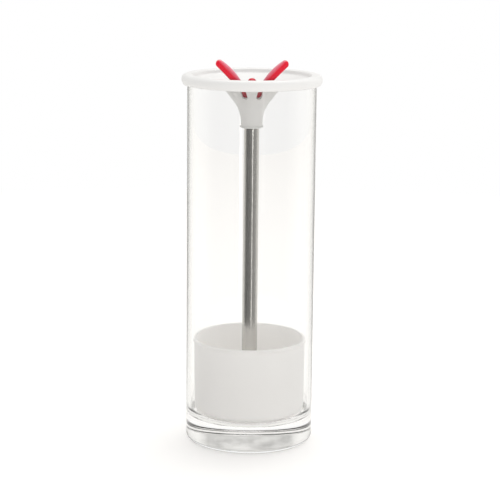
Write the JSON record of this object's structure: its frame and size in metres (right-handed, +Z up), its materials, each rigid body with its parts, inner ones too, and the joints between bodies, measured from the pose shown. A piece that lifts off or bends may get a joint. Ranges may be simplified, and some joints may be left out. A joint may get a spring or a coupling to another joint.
{
  "type": "herb keeper",
  "caption": "Tall clear glass jar with a saucer lid, water funnel, steel stem and hanging herb basket, with a winged vent grip.",
  "frame": {"origin": "centre of the jar's foot, on the surface that it stands on", "axes": "+Z up along the jar; -Y is the front, where two air windows show; the closed grip's arms spread along X"},
  "size_m": [0.1088, 0.1088, 0.3014],
  "materials": {
    "clear_glass": "clear polished glass",
    "white_plastic": "satin white moulding",
    "basket_plastic": "fine matt warm white moulding",
    "clear_silicone": "soft translucent white",
    "red_plastic": "satin crimson moulding",
    "steel": "drawn and polished stainless steel"
  },
  "bodies": {
    "jar": {"glass_jar": "clear_glass"},
    "insert": {"lid_dish": "white_plastic", "lid_gasket": "clear_silicone", "funnel": "white_plastic", "throat_bridge": "white_plastic", "stem_grommet": "clear_silicone", "stem_tube": "steel", "stem_foot": "white_plastic", "herb_basket": "basket_plastic"},
    "vent": {"vent_wing": "red_plastic", "vent_shutter": "red_plastic", "pivot_washer": "steel", "pivot_screw": "steel"}
  },
  "joints": [
    {"name": "insert_lift", "type": "slide", "parent": "jar", "child": "insert", "axis": [0, 0, 1], "range_m": [0, 0.275]},
    {"name": "vent_turn", "type": "hinge", "parent": "insert", "child": "vent", "pos_m": [0, 0, 0.2685], "axis": [0, 0, 1], "range_deg": [0, 17.5]}
  ]
}
